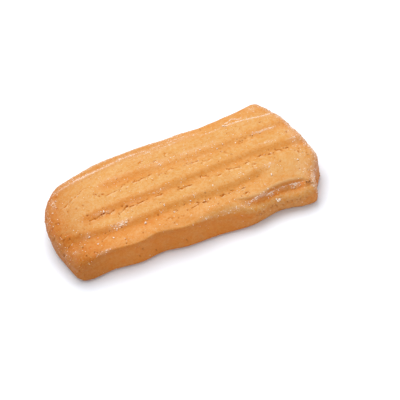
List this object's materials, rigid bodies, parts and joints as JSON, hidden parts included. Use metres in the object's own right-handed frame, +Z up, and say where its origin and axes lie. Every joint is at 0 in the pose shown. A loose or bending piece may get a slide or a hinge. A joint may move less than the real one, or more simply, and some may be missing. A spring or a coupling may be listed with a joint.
{
  "type": "shortbread biscuit",
  "caption": "Long baked shortbread biscuit with soft lengthwise ridges, fine tears in its golden crust, rounded ends and a flat underside.",
  "frame": {"origin": "middle of the bounding box at the level of the flat underside", "axes": "+X along the length, toward the squarer end; +Y across, toward the side with the softer shoulder; +Z up through the ridged top"},
  "size_m": [0.0858, 0.0392, 0.0133],
  "materials": {
    "baked_dough": "matt golden crust, a little browner down the sides"
  },
  "bodies": {
    "root": {"biscuit": "baked_dough"}
  },
  "joints": []
}
